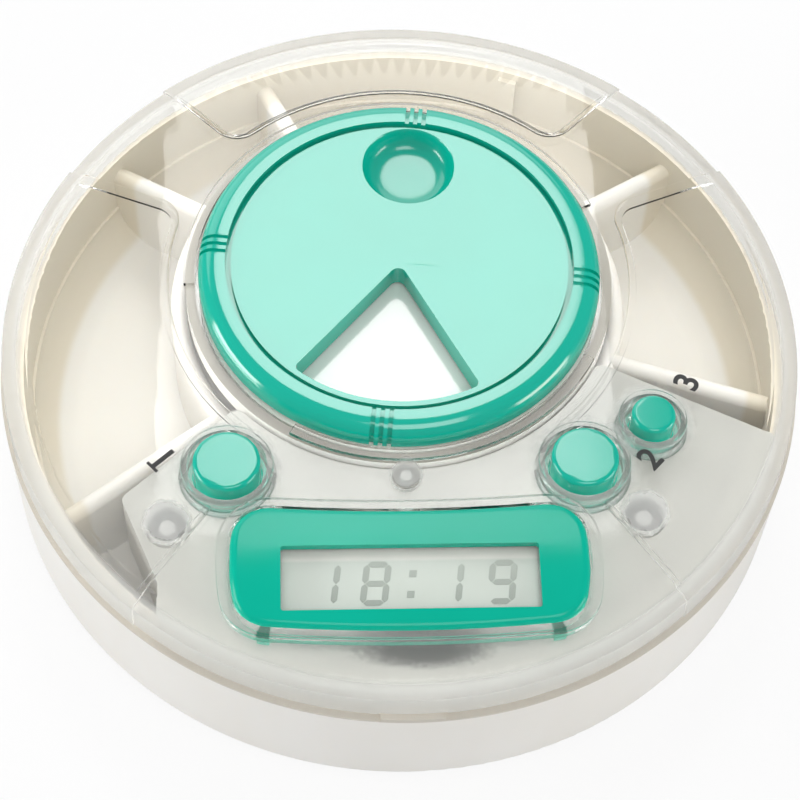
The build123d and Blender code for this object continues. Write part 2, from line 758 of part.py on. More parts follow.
# ---------------------------------------------------------------- electronics bay
with BuildPart() as electronics_panel:
    add(housing_outline(sheet_bottom, sheet_inner, outer=skirt_inner - sheet_gap))
    extrude(amount=sheet_thickness)
    with BuildSketch(Plane.XY.offset(sheet_bottom)):
        for x, y, radius in button_places.values():
            with Locations((x, y)):
                Circle(radius + cup_gap + collar_wall + hole_gap)
        with Locations(*boss_places):
            Circle(boss_radius + hole_gap)
        with Locations(front_boss):
            Circle(board_screw_radius + cover_gap)
        with Locations((0, lcd_center)):
            Rectangle(lcd_width + 2 * pocket_gap, lcd_height + 2 * pocket_gap)
    extrude(amount=sheet_thickness, mode=Mode.SUBTRACT)
electronics_panel.part.label = "electronics_panel"

with BuildPart() as electronics_housing:
    add(housing_outline(housing_bottom, housing_inner))
    extrude(amount=sheet_bottom - housing_bottom)
    add(housing_outline(floor_inside, housing_inner, housing_wall))
    extrude(amount=tray_height, mode=Mode.SUBTRACT)
    with BuildSketch(Plane.XY.offset(housing_bottom)):
        with Locations(*boss_places):
            Circle(pillar_radius)
    extrude(amount=boss_bottom - housing_bottom)
    with BuildSketch(Plane.XY.offset(housing_bottom)):
        with Locations(*post_places):
            Circle(post_radius)
    extrude(amount=board_bottom - housing_bottom)
    # room for the buttons' flanges over the inner wall
    low = flange_bottom - button_travel - button_fit
    with BuildSketch(Plane.XY.offset(low)):
        for x, y, radius in button_places.values():
            with Locations((x, y)):
                Circle(radius + button_fit + flange_reach + hole_gap)
    extrude(amount=sheet_bottom - low, mode=Mode.SUBTRACT)
    # bores for the screws
    with BuildSketch(Plane.XY.offset(housing_bottom)):
        with Locations(*boss_places):
            Circle(screw_head_radius + cover_gap)
    extrude(amount=head_top - housing_bottom, mode=Mode.SUBTRACT)
    with BuildSketch(Plane.XY.offset(head_top)):
        with Locations(*boss_places):
            Circle(pilot_radius + cover_gap)
    extrude(amount=screw_web, mode=Mode.SUBTRACT)
    with BuildSketch(Plane.XY.offset(board_bottom - board_screw_bore)):
        with Locations(*board_screw_places):
            Circle(board_screw_radius + screw_play)
    extrude(amount=board_screw_bore, mode=Mode.SUBTRACT)
    # battery hole with its two entry slots, and the sound holes
    with BuildSketch(Plane.XY.offset(housing_bottom)):
        with Locations(cell_place):
            Circle(cap_radius + cap_play)
        with Locations(Location((*cell_place, 0), (0, 0, cap_turn))):
            Rectangle(2 * (cap_radius + cap_tab + cap_play), cap_tab_width + 2 * cap_play)
        with Locations(buzzer_place):
            Circle(sound_hole_radius)
            with PolarLocations(4 * sound_hole_radius, 6):
                Circle(sound_hole_radius)
    extrude(amount=housing_wall, mode=Mode.SUBTRACT)
electronics_housing.part.label = "electronics_housing"

with BuildPart() as circuit_board:
    add(housing_outline(board_bottom, housing_inner, housing_wall + board_gap))
    extrude(amount=board_thickness)
    with BuildSketch(Plane.XY.offset(board_bottom)):
        with Locations(*boss_places):
            Circle(pillar_radius + hole_gap)
        with Locations(*board_screw_places):
            Circle(board_screw_radius + cover_gap)
    extrude(amount=board_thickness, mode=Mode.SUBTRACT)
circuit_board.part.label = "circuit_board"

with BuildPart() as contact_pads:
    with BuildSketch(Plane.XY.offset(board_top)):
        for x, y, radius in button_places.values():
            with Locations((x, y)):
                Circle(contact_radius)
                Rectangle(contact_split, 3 * contact_radius, mode=Mode.SUBTRACT)
    extrude(amount=contact_height)
contact_pads.part.label = "contact_pads"

with BuildPart() as clock_chip:
    with Locations((*chip_place, board_bottom)):
        Cylinder(chip_radius, chip_height, align=(Align.CENTER, Align.CENTER, Align.MAX))
    fillet(clock_chip.edges().group_by(Axis.Z)[0], chip_height * 0.7)
clock_chip.part.label = "clock_chip"

with BuildPart() as clock_crystal:
    with Locations((*crystal_place, board_bottom - crystal_radius)):
        Cylinder(crystal_radius, crystal_length, rotation=(0, 90, 0))
    chamfer(clock_crystal.edges().filter_by(GeomType.CIRCLE), crystal_radius / 5)
clock_crystal.part.label = "clock_crystal"

with BuildPart() as board_capacitors:
    with BuildSketch(Plane.XY.offset(board_top)):
        with Locations(*capacitor_places):
            Rectangle(*capacitor_size[:2])
    extrude(amount=capacitor_size[2])
board_capacitors.part.label = "board_capacitors"

with BuildPart() as buzzer:
    with Locations((*buzzer_place, board_bottom)):
        Cylinder(buzzer_radius, buzzer_height, align=(Align.CENTER, Align.CENTER, Align.MAX))
    fillet(buzzer.edges().group_by(Axis.Z)[0], buzzer_height / 6)
    with Locations((*buzzer_place, board_bottom - buzzer_height)):
        Cylinder(sound_hole_radius, buzzer_height / 2, align=(Align.CENTER, Align.CENTER, Align.MIN),
                 mode=Mode.SUBTRACT)
buzzer.part.label = "buzzer"

# ---------------------------------------------------------------- coin cell
with BuildPart() as coin_cell:
    with Locations((*cell_place, cell_bottom)):
        Cylinder(cell_radius, cell_thickness, align=(Align.CENTER, Align.CENTER, Align.MIN))
    fillet(coin_cell.edges().group_by(Axis.Z)[0], cell_thickness / 5)
    step = coin_cell.edges().group_by(Axis.Z)[-1]
    chamfer(step, cell_thickness / 6)
coin_cell.part.label = "coin_cell"

with BuildPart() as cell_holder:
    with BuildSketch(Plane.XY.offset(holder_bottom)):
        with Locations(cell_place):
            Circle(cell_radius + holder_play + holder_wall)
            Circle(cell_radius + holder_play, mode=Mode.SUBTRACT)
        with Locations((cell_place[0] + cell_radius + holder_play, cell_place[1])):
            Rectangle(3 * holder_wall, contact_width + 2 * cap_play, mode=Mode.SUBTRACT)
    extrude(amount=board_bottom - holder_bottom)
cell_holder.part.label = "cell_holder"

with BuildPart() as cell_contact_top:
    # foot on the board, leaf sloping down to the cell, flat tip on the cell
    with BuildSketch(Plane.XZ.offset(-cell_place[1] - contact_width / 2)):
        with BuildLine() as leaf:
            x = cell_place[0]
            Polyline(
                *((x + step, board_bottom - contact_sheet / 2) for step in leaf_foot),
                *((x + step, cell_top + contact_sheet / 2) for step in leaf_tip),
            )
        trace(line_width=contact_sheet)
    extrude(amount=contact_width)
cell_contact_top.part.label = "cell_contact_top"

with BuildPart() as cell_contact_side:
    side = cell_place[0] + cell_radius + contact_sheet / 4
    with Locations((side, cell_place[1], cell_bottom + cell_thickness / 4)):
        Box(contact_sheet, contact_width, board_bottom - cell_bottom - cell_thickness / 4,
            align=(Align.MIN, Align.CENTER, Align.MIN))
cell_contact_side.part.label = "cell_contact_side"

with BuildPart() as battery_cap:
    with Locations((*cell_place, housing_bottom)):
        Cylinder(cap_radius, cap_thickness, align=(Align.CENTER, Align.CENTER, Align.MIN))
    with BuildSketch(Plane.XY.offset(cap_top - cap_tab_height)):
        with Locations(cell_place):
            Circle(cap_radius + cap_tab)
            Rectangle(3 * cap_radius, cap_tab_width, mode=Mode.INTERSECT)
    extrude(amount=cap_tab_height)
    with BuildSketch(Plane.XY.offset(housing_bottom)):
        with Locations(cell_place):
            SlotOverall(slot_length, slot_width)
    extrude(amount=slot_depth, mode=Mode.SUBTRACT)
battery_cap.part.label = "battery_cap"


# ---------------------------------------------------------------- screws
def screw(place, head_bottom, head_radius, head_height, shank_radius, shank_length, up):
    """Pan-head screw with a cross slot; the shank points up or down."""
    sign = 1 if up else -1
    with BuildPart() as piece:
        near = (Align.CENTER, Align.CENTER, Align.MIN if up else Align.MAX)
        with Locations((*place, head_bottom)):
            Cylinder(head_radius, head_height, align=near)
        with Locations((*place, head_bottom + sign * head_height)):
            Cylinder(shank_radius, shank_length, align=near)
        with Locations((*place, head_bottom)):
            Box(head_radius, head_radius / 4, head_height / 2, align=near, mode=Mode.SUBTRACT)
            Box(head_radius / 4, head_radius, head_height / 2, align=near, mode=Mode.SUBTRACT)
    return piece.part


screw_length = screw_web + screw_reach
with BuildPart() as housing_screws:
    for place in boss_places:
        add(screw(place, head_top - screw_head_height, screw_head_radius, screw_head_height,
                  pilot_radius - screw_play, screw_length, True))
housing_screws.part.label = "housing_screws"

with BuildPart() as panel_screw:
    add(screw(front_boss, sheet_bottom - small_head_height, small_head_radius, small_head_height,
              board_screw_radius, sheet_thickness + panel_screw_grip, True))
panel_screw.part.label = "panel_screw"

with BuildPart() as board_screws:
    for place in board_screw_places:
        add(screw(place, board_top + small_head_height, small_head_radius, small_head_height,
                  board_screw_radius, board_thickness + board_screw_grip, False))
board_screws.part.label = "board_screws"

# ---------------------------------------------------------------- buttons
buttons = {}
for name, (x, y, radius) in button_places.items():
    with BuildPart() as key:
        with Locations((x, y, flange_bottom)):
            Cylinder(radius, button_top - flange_bottom, align=(Align.CENTER, Align.CENTER, Align.MIN))
        fillet(key.edges().group_by(Axis.Z)[-1], button_round)
        with Locations((x, y, flange_bottom)):
            Cylinder(radius + button_fit + flange_reach, button_flange,
                     align=(Align.CENTER, Align.CENTER, Align.MIN))
        with Locations((x, y, stem_bottom)):
            Cylinder(stem_radius, flange_bottom - stem_bottom + 1, align=(Align.CENTER, Align.CENTER, Align.MIN))
    key.part.label = name
    buttons[name] = key.part
    with BuildPart() as pad:
        with Locations((x, y, board_top)):
            Cone(radius - pad_step, radius - pad_step - pad_wall / 2, flange_bottom - board_top,
                 align=(Align.CENTER, Align.CENTER, Align.MIN))
            Cylinder(radius - pad_step - 1.25 * pad_wall, flange_bottom - board_top,
                     align=(Align.CENTER, Align.CENTER, Align.MIN), mode=Mode.SUBTRACT)
    pad.part.label = name.replace("button", "button_pad")
    buttons[pad.part.label] = pad.part

pieces = [
    base_tray, rubber_feet, clear_cover, outlet_plate, selector_dial, dial_retainer, display_bezel,
    display_lens, lcd_panel, lcd_connector, electronics_panel, electronics_housing, circuit_board,
    contact_pads, clock_chip, clock_crystal, board_capacitors, buzzer, coin_cell, cell_holder,
    cell_contact_top, cell_contact_side, battery_cap, housing_screws, panel_screw, board_screws,
]
for piece in pieces:
    export_step(piece.part, f"parts/{piece.part.label}.step")
for name, part in buttons.items():
    export_step(part, f"parts/{name}.step")
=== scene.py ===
# %% [markdown]
# # A round pill box with a timer
#
# The real object is a white tray under a clear lid. The lid carries a green dial that turns by hand,
# a small clock with three green buttons, and a frosted bay for the electronics. The solids arrive from
# the CAD model at their true place, in metres, so this lesson only gives them their finished surfaces
# and adds the fine pieces: display digits, printed numerals and the light that shows them.

import json
from math import atan2, cos, hypot, pi, radians, sin

import bpy
from mathutils import Matrix, Vector

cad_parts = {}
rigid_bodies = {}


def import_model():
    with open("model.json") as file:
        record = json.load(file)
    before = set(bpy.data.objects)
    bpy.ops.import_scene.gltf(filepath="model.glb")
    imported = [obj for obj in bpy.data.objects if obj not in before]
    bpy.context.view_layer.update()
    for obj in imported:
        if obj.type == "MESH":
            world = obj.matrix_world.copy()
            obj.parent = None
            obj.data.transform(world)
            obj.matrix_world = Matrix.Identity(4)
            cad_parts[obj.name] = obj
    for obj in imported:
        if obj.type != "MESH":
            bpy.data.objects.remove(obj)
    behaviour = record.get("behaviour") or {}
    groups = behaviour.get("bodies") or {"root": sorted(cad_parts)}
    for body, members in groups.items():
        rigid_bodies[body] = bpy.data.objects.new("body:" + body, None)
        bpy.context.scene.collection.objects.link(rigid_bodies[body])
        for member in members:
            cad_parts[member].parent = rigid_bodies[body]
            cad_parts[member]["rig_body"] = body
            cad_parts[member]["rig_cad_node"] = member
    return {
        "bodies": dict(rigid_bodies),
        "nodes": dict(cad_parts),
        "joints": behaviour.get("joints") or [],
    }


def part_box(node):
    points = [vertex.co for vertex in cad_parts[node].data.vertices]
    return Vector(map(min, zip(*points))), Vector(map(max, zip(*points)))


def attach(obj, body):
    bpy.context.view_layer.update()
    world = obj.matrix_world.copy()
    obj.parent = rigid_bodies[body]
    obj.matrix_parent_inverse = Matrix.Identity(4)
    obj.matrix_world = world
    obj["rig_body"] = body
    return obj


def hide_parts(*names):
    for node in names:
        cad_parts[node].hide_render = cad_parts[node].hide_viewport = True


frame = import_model()
bodies, nodes = frame["bodies"], frame["nodes"]
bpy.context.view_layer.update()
MM = 0.001
print("nodes:", len(nodes), "bodies:", len(bodies))

# %% [markdown]
# ## Places that the pieces share
#
# A finish or a digit has to sit on the part that carries it. Only what the boxes can't tell, such as
# the dial's axis, is taken from the joints in the record.

# %% Measure the parts that carry the fine pieces
joints = {joint["name"]: joint for joint in frame["joints"]}
dial_axis = Vector(joints["dial_turn"]["pos_m"])
tray_low, tray_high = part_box("base_tray")
cover_low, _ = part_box("clear_cover")
lcd_low, lcd_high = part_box("lcd_panel")
lens_low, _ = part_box("display_lens")
tray_radius = (tray_high.x - tray_low.x) / 2
inner_wall_radius = tray_radius - 3.4 * MM
dimple_angle, dimple_distance, dimple_radius = radians(84.0), 19.6 * MM, 7.7 * MM
dimple_middle = dial_axis + dimple_distance * Vector((cos(dimple_angle), sin(dimple_angle), 0))
print(f"tray radius {tray_radius / MM:.1f} mm, dial axis {tuple(round(v / MM, 1) for v in dial_axis)} mm")

# %% [markdown]
# ## Smooth copies of the CAD meshes
#
# A CAD mesh comes in as loose triangles, so light would break at every one of them. A copy is merged
# and shaded smooth up to an angle, which keeps the moulded corners crisp and lets curved walls bend
# the light evenly. The copy then stands for the node, and the node itself isn't touched.


# %% A helper that makes such a copy
def clear_selection():
    """Nothing selected and nothing active, so that the next operator acts on one piece alone."""
    if bpy.context.object and bpy.context.object.mode != "OBJECT":
        bpy.ops.object.mode_set(mode="OBJECT")
    bpy.ops.object.select_all(action="DESELECT")


def select_only(piece):
    clear_selection()
    piece.select_set(True)
    bpy.context.view_layer.objects.active = piece


def select_faces(piece, wanted):
    """Edit mode with only the wanted faces selected. `wanted` is asked about each polygon."""
    select_only(piece)
    for edge in piece.data.edges:
        edge.select = False
    for vertex in piece.data.vertices:
        vertex.select = False
    for polygon in piece.data.polygons:
        polygon.select = wanted(polygon)
    bpy.ops.object.mode_set(mode="EDIT")
    bpy.ops.mesh.select_mode(type="FACE")


def smooth_copy(node_name, angle=28, rounding=0.0, rings=()):
    """A merged, smoothly shaded copy of a CAD node, rounded at hard edges and on its rings if asked."""
    node = nodes[node_name]
    piece = node.copy()
    piece.data = node.data.copy()
    piece.name = node_name + "_finished"
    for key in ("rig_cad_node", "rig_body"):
        if key in piece:
            del piece[key]
    piece.parent = None
    bpy.context.scene.collection.objects.link(piece)
    select_only(piece)
    if piece.data.has_custom_normals:
        bpy.ops.mesh.customdata_custom_splitnormals_clear()
    bpy.ops.object.mode_set(mode="EDIT")
    bpy.ops.mesh.select_all(action="SELECT")
    bpy.ops.mesh.remove_doubles(threshold=0.002 * MM)
    bpy.ops.object.mode_set(mode="OBJECT")
    for middle, least_radius, rounds in rings:
        rounder(piece, middle, least_radius, rounds)
    if rounding:
        bevel = piece.modifiers.new("rounding", "BEVEL")
        bevel.width, bevel.segments = rounding, 2
        bevel.limit_method, bevel.angle_limit = "ANGLE", radians(angle)
        bevel.harden_normals = False
        bpy.ops.object.modifier_apply(modifier=bevel.name)
    bpy.ops.object.shade_smooth_by_angle(angle=radians(angle))
    weighted = piece.modifiers.new("flat_faces_lead", "WEIGHTED_NORMAL")
    weighted.keep_sharp, weighted.weight = True, 100
    bpy.ops.object.modifier_apply(modifier=weighted.name)
    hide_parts(node_name)
    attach(piece, node["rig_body"])
    return piece


# %% [markdown]
# ## Rounder rings
#
# The CAD meshes approach a circle with straight steps. On opaque parts nobody sees them, but a clear
# wall bends the light at each one. So the long edges that run round an axis are split in half, and
# each new point is put where the circle really passes: at the mean angle and the mean radius.


# %% A helper that splits the steps of a ring
def rounder(piece, middle, least_radius, rounds):
    """Halve the steps of everything further than a radius from an upright axis through `middle`."""
    def polar(point):
        return atan2(point.y - middle.y, point.x - middle.x), hypot(point.x - middle.x, point.y - middle.y)

    same_place, widest_step = 0.001 * MM, radians(12)
    for _ in range(rounds):
        points = piece.data.vertices
        old_count = len(points)
        select_faces(piece, lambda polygon: all(
            polar(points[i].co)[1] > least_radius for i in polygon.vertices))
        bpy.ops.mesh.subdivide(number_cuts=1)
        bpy.ops.object.mode_set(mode="OBJECT")
        points = piece.data.vertices
        ends_of = {}
        for edge in piece.data.edges:
            for new, end in (edge.vertices, reversed(edge.vertices)):
                if new >= old_count > end:
                    ends_of.setdefault(new, []).append(points[end].co)
        for new, ends in ends_of.items():
            here = points[new].co
            pairs = [(a, b) for i, a in enumerate(ends) for b in ends[i + 1:]
                     if ((a + b) / 2 - here).length < same_place]
            if not pairs:
                continue
            (angle_a, radius_a), (angle_b, radius_b) = polar(pairs[0][0]), polar(pairs[0][1])
            turn = (angle_b - angle_a + pi) % (2 * pi) - pi
            if abs(turn) < widest_step:
                angle, radius = angle_a + turn / 2, (radius_a + radius_b) / 2
                here.x, here.y = middle.x + radius * cos(angle), middle.y + radius * sin(angle)
    print(piece.name, "now has", len(piece.data.vertices), "points")


# %% [markdown]
# ## Writing shader maths as expressions
#
# A finish is a small calculation on the surface's place. Node trees hide that calculation, so a class
# wraps one socket and lets `+`, `-` and `*` add the Math nodes. A second class holds the material and
# has one method that adds any other node.


# %% The two classes
class Value:
    """A number that varies over a surface. Arithmetic on it adds Math nodes."""

    def __init__(self, finish, socket):
        self.finish, self.socket = finish, socket

    def math(self, operation, first, second=None):
        sockets = {0: first} if second is None else {0: first, 1: second}
        return self.finish.node("ShaderNodeMath", {"operation": operation}, sockets)

    def __add__(self, other):
        return self.math("ADD", self, other)

    def __radd__(self, other):
        return self.math("ADD", other, self)

    def __sub__(self, other):
        return self.math("SUBTRACT", self, other)

    def __rsub__(self, other):
        return self.math("SUBTRACT", other, self)

    def __mul__(self, other):
        return self.math("MULTIPLY", self, other)

    def __rmul__(self, other):
        return self.math("MULTIPLY", other, self)

    def __truediv__(self, other):
        return self.math("DIVIDE", self, other)

    def above(self, level, softness):
        """0 below a level and 1 above it, with a soft step."""
        return self.finish.node("ShaderNodeMapRange", {"interpolation_type": "SMOOTHSTEP"},
                                {"Value": self, "From Min": level - softness, "From Max": level + softness})


class Finish:
    """A material that is being built. `node` adds one node and returns one of its outputs."""

    def __init__(self, owner, output="ShaderNodeOutputMaterial"):
        self.owner = bpy.data.materials.new(owner) if isinstance(owner, str) else owner
        self.owner.use_nodes = True
        self.tree, self.output = self.owner.node_tree, output
        self.tree.nodes.clear()

    def node(self, kind, settings=None, sockets=None, output=0):
        made = self.tree.nodes.new(kind)
        for name, value in (settings or {}).items():
            setattr(made, name, value)
        for name, value in (sockets or {}).items():
            if isinstance(value, Value):
                self.tree.links.new(value.socket, made.inputs[name])
            else:
                made.inputs[name].default_value = value
        return Value(self, made.outputs[output])

    def place(self):
        """The point on the surface, in metres, in the model's own axes."""
        return self.node("ShaderNodeTexCoord", output="Object")

    def axis(self, name):
        return self.node("ShaderNodeSeparateXYZ", sockets={"Vector": self.place()}, output=name)

    def noise(self, size, detail=2.0, stretch=(1, 1, 1)):
        """Soft noise from 0 to 1 whose blotches are about `size` metres across."""
        scaled = self.node("ShaderNodeMapping", sockets={"Vector": self.place(), "Scale": stretch})
        return self.node("ShaderNodeTexNoise", sockets={
            "Vector": scaled, "Scale": 1 / size, "Detail": detail})

    def blend(self, factor, first, second):
        """A colour between two colours."""
        sockets = {"Factor": factor}
        for name, colour in (("A", first), ("B", second)):
            sockets[name] = colour if isinstance(colour, Value) else (*colour, 1.0)
        made = self.tree.nodes.new("ShaderNodeMix")
        made.data_type = "RGBA"
        inputs = {socket.identifier: socket for socket in made.inputs}
        for name, identifier in (("Factor", "Factor_Float"), ("A", "A_Color"), ("B", "B_Color")):
            value = sockets[name]
            if isinstance(value, Value):
                self.tree.links.new(value.socket, inputs[identifier])
            else:
                inputs[identifier].default_value = value
        outputs = {socket.identifier: socket for socket in made.outputs}
        return Value(self, outputs["Result_Color"])

    def bump(self, height, depth):
        """A Normal for a height map that goes from 0 to 1 over `depth` metres."""
        return self.node("ShaderNodeBump", sockets={"Height": height, "Distance": depth, "Strength": 1.0})

    def end(self, shader):
        output = self.tree.nodes.new(self.output)
        self.tree.links.new(shader.socket, output.inputs["Surface"])
        return self.owner


def linear(red, green, blue):
    """Display values from 0 to 255 as the linear colour that Blender works in."""
    def channel(value):
        share = value / 255
        return share / 12.92 if share <= 0.04045 else ((share + 0.055) / 1.055) ** 2.4
    return tuple(channel(value) for value in (red, green, blue))


def tinted(colour, shares):
    """A colour with each channel brought down to its own share."""
    return tuple(share * channel for share, channel in zip(shares, colour))


print("white plastic would be", tuple(round(v, 2) for v in linear(238, 235, 228)))

# %% [markdown]
# ## Moulded plastic
#
# Most pieces are injection moulded. Such a surface is never quite even: the colour drifts a little
# where the plastic flowed, polish varies in soft patches, and the steel mould leaves a fine grain.
# One function builds all of that from noise at three scales, and each piece asks for its own amounts.


# %% A finish for moulded plastic
# Painted shade, as shares of the plain colour: the first for the tray's inner wall, the second for its land
# in the seam.
wall_shade_shares, seam_shade_shares = (0.89, 0.84, 0.74), (0.68, 0.65, 0.60)     # shares of the plain colour


def moulded(name, colour, drift, roughness, grain, depth, uneven=0.06, scatter=0.0, ior=1.5, inner=None,
            wall=0.0, wall_top=0.0, worn=None):
    """Opaque plastic: a colour that drifts to a second one, uneven polish, and a fine mould grain.

    Inside the radius `wall` it may take the colour `inner`, which is painted shade: a little darker inside
    the tray and deepest on the wall itself. Painted shade also darkens the narrow land on top of that wall,
    at the height `wall_top`, where the seam under the lid lies in shadow.
    `worn` is a place and a radius where fingers have taken the shine off.
    """
    finish = Finish(name)
    flow = finish.noise(22 * MM, 3.0, (1, 1, 0.4))
    polish = finish.noise(5 * MM, 2.0)
    skin = finish.noise(grain, 2.0)
    waves = finish.noise(12 * grain, 1.0)
    shade = finish.blend(flow.above(0.5, 0.25), colour, drift)
    if inner:
        x, y = finish.axis("X"), finish.axis("Y")
        radius_squared = x * x + y * y
        foot = wall - 4.5 * MM
        # Painted shade: the inner wall, outside the radius `foot`, is darker and warmer than the floor.
        shaded_wall = finish.blend(radius_squared.above(foot ** 2, 1.5 * MM * foot), inner, tinted(inner, wall_shade_shares))
        # Painted shade: outside the wall and above `wall_top`, the colour darkens where the seam under the
        # lid's skirt lies in shadow.
        land = finish.axis("Z").above(wall_top - 0.5 * MM, 0.2 * MM)
        outer = finish.blend(land, shade, tinted(colour, seam_shade_shares))
        outward = radius_squared.above(wall ** 2, 0.6 * MM * wall)
        above_bottom = finish.axis("Z").above(1.2 * MM, 0.3 * MM)
        shade = finish.blend(above_bottom * (1 - outward), outer, shaded_wall)
    dull = roughness + uneven * (polish - 0.5)
    if worn:
        place, reach = worn
        across, along = finish.axis("X") - place.x, finish.axis("Y") - place.y
        dull = dull + 0.05 * (1 - (across * across + along * along).above(reach ** 2, 0.1 * reach ** 2))
    settings = {
        "Base Color": shade,
        "Roughness": dull,
        "Normal": finish.bump(0.6 * skin + 0.4 * waves, depth),
        "IOR": ior,
    }
    if scatter:
        settings["Subsurface Weight"] = scatter
        settings["Subsurface Radius"] = (1.0, 0.8, 0.6)
        settings["Subsurface Scale"] = 1.5 * MM
    return finish.end(finish.node("ShaderNodeBsdfPrincipled", sockets=settings))


# The tray carries painted shade: a little darker inside, deeper on its inner wall, and dark in the seam under
# the lid.
white_plastic = moulded(
    "white_plastic", linear(241, 239, 234), linear(236, 233, 226), 0.44, 0.35 * MM, 0.004 * MM,
    scatter=0.1, ior=1.36, inner=linear(235, 233, 228), wall=inner_wall_radius, wall_top=cover_low.z)
plate_plastic = moulded(
    "plate_plastic", linear(250, 249, 244), linear(247, 245, 239), 0.12, 0.3 * MM, 0.002 * MM,
    uneven=0.04, ior=1.8)
green_plastic = moulded(
    "green_plastic", linear(0, 189, 164), linear(1, 183, 158), 0.12, 0.5 * MM, 0.002 * MM,
    uneven=0.04, ior=1.7)
dial_green = moulded(
    "dial_green_plastic", linear(0, 189, 164), linear(1, 183, 158), 0.12, 0.5 * MM, 0.002 * MM,
    uneven=0.04, ior=1.8, worn=(dimple_middle, dimple_radius))
bezel_green = moulded(
    "bezel_green_plastic", linear(0, 186, 158), linear(0, 179, 151), 0.16, 0.4 * MM, 0.003 * MM, ior=1.33)
ink = moulded("printed_ink", linear(62, 62, 62), linear(52, 52, 52), 0.5, 0.2 * MM, 0.004 * MM)
rubber = moulded("grey_rubber", linear(120, 120, 118), linear(104, 104, 102), 0.75, 0.2 * MM, 0.01 * MM)
black_plastic = moulded("black_plastic", linear(38, 38, 40), linear(30, 30, 32), 0.45, 0.25 * MM, 0.006 * MM)
silicone = moulded("silicone", linear(214, 214, 208), linear(204, 204, 198), 0.55, 0.3 * MM, 0.004 * MM,
                   scatter=0.2)
ceramic = moulded("capacitor_ceramic", linear(176, 140, 98), linear(160, 124, 84), 0.5, 0.15 * MM, 0.003 * MM)
print("moulded finishes:", len(bpy.data.materials))

# %% [markdown]
# ## Clear plastic
#
# The lid is clear plastic. It bends light, so its edges and steps draw themselves as fine bright and
# dark lines. Its index here is 1.33, lower than a real plastic's 1.5 to 1.6, so it reflects less than
# the real lid would. A path tracer sees shadows through such a shell as nearly black unless it follows
# every bent ray, so a shadow ray is simply let through: the Mix Shader picks a Transparent shader for
# it. Very faint unevenness in the polish keeps reflections from looking like a mirror.
#
# Some places are hazy: the rim, the front of the bay, the buttons' collars and the bosses. There the
# polish is duller and a cloudy shader is mixed in. The haze is painted by place.


# %% A finish for clear plastic
clear_index = 1.33


def clear(name, tint, roughness, shadow_tint, waviness, haze_of=None, milk=(0.84, 0.84, 0.82)):
    """Clear plastic. `haze_of` may return a place's haze, which dulls the polish and adds milk."""
    finish = Finish(name)
    ripple = finish.noise(9 * MM, 1.0)
    haze = haze_of(finish, finish.axis("X"), finish.axis("Y")) if haze_of else None
    surface = finish.node("ShaderNodeBsdfPrincipled", sockets={
        "Base Color": finish.blend(ripple, tint, tuple(0.995 * c for c in tint)),
        "Roughness": roughness + 0.25 * haze if haze_of else roughness,
        "IOR": clear_index, "Transmission Weight": 1.0, "Normal": finish.bump(ripple, waviness)})
    if haze_of:
        skin = finish.node("ShaderNodeBsdfPrincipled", sockets={
            "Base Color": finish.blend(ripple, milk, tuple(0.97 * c for c in milk)),
            "Roughness": 0.3 + 0.1 * ripple, "IOR": clear_index})
        inside = finish.node("ShaderNodeBsdfTranslucent", sockets={"Color": (*milk, 1.0)})
        cloudy = finish.node("ShaderNodeMixShader", sockets={0: 0.4, 1: skin, 2: inside})
        surface = finish.node("ShaderNodeMixShader", sockets={0: 0.55 * haze, 1: surface, 2: cloudy})
    through = finish.node("ShaderNodeBsdfTransparent", sockets={"Color": (*shadow_tint, 1.0)})
    shadow_ray = finish.node("ShaderNodeLightPath", output="Is Shadow Ray")
    return finish.end(finish.node("ShaderNodeMixShader", sockets={0: shadow_ray, 1: surface, 2: through}))


# %% Where the lid is hazy
collar_reaches = {"button_1": 8.2, "button_2": 8.2, "button_3": 6.6}         # mm
bosses = ((-37.2, -34.1, 3.6), (36.9, -33.5, 3.6), (0.0, -26.0, 2.4))        # x, y and reach in mm
rim_haze, bay_haze, collar_haze, boss_haze = 0.6, 0.2, 0.42, 1.0
bay_radius, bay_back = 48 * MM, -24 * MM
hazy_spots = []
for name, reach in collar_reaches.items():
    low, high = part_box(name)
    hazy_spots.append(((low + high) / 2, reach * MM, collar_haze))
for x, y, reach in bosses:
    hazy_spots.append((Vector((x * MM, y * MM, 0)), reach * MM, boss_haze))


def lid_haze(finish, x, y):
    """Haze round the rim, over the front of the electronics bay, on the collars and in the thick bosses."""
    radius_squared = x * x + y * y
    rim, bay = inner_wall_radius, bay_radius
    lumps = finish.noise(1.6 * MM, 2.0)
    haze = rim_haze * radius_squared.above(rim ** 2, 1.2 * MM * rim)
    in_front = bay_haze * (1 - y.above(bay_back, 9 * MM))
    haze = haze + in_front * radius_squared.above(bay ** 2, 8 * MM * bay)
    for place, reach, strength in hazy_spots:
        across, along = x - place.x, y - place.y
        nearness = (across * across + along * along) / reach ** 2 + 0.8 * (lumps - 0.5)
        haze = haze + strength * (1 - nearness.above(1.0, 0.3))
    return haze


clear_plastic = clear("clear_plastic", (0.97, 0.97, 0.96), 0.015, (0.94, 0.935, 0.92), 0.012 * MM, lid_haze)
lens_plastic = clear("lens_plastic", (0.98, 0.985, 0.98), 0.03, (0.95, 0.95, 0.95), 0.004 * MM)
print("clear finishes ready")

# %% [markdown]
# ## Frosted plastic
#
# The electronics bay and the sheet on top of it are milky. Light goes in, scatters and comes out
# soft, so the board below is only a shade. A translucent shader mixed with an ordinary plastic one
# gives that without a slow volume.


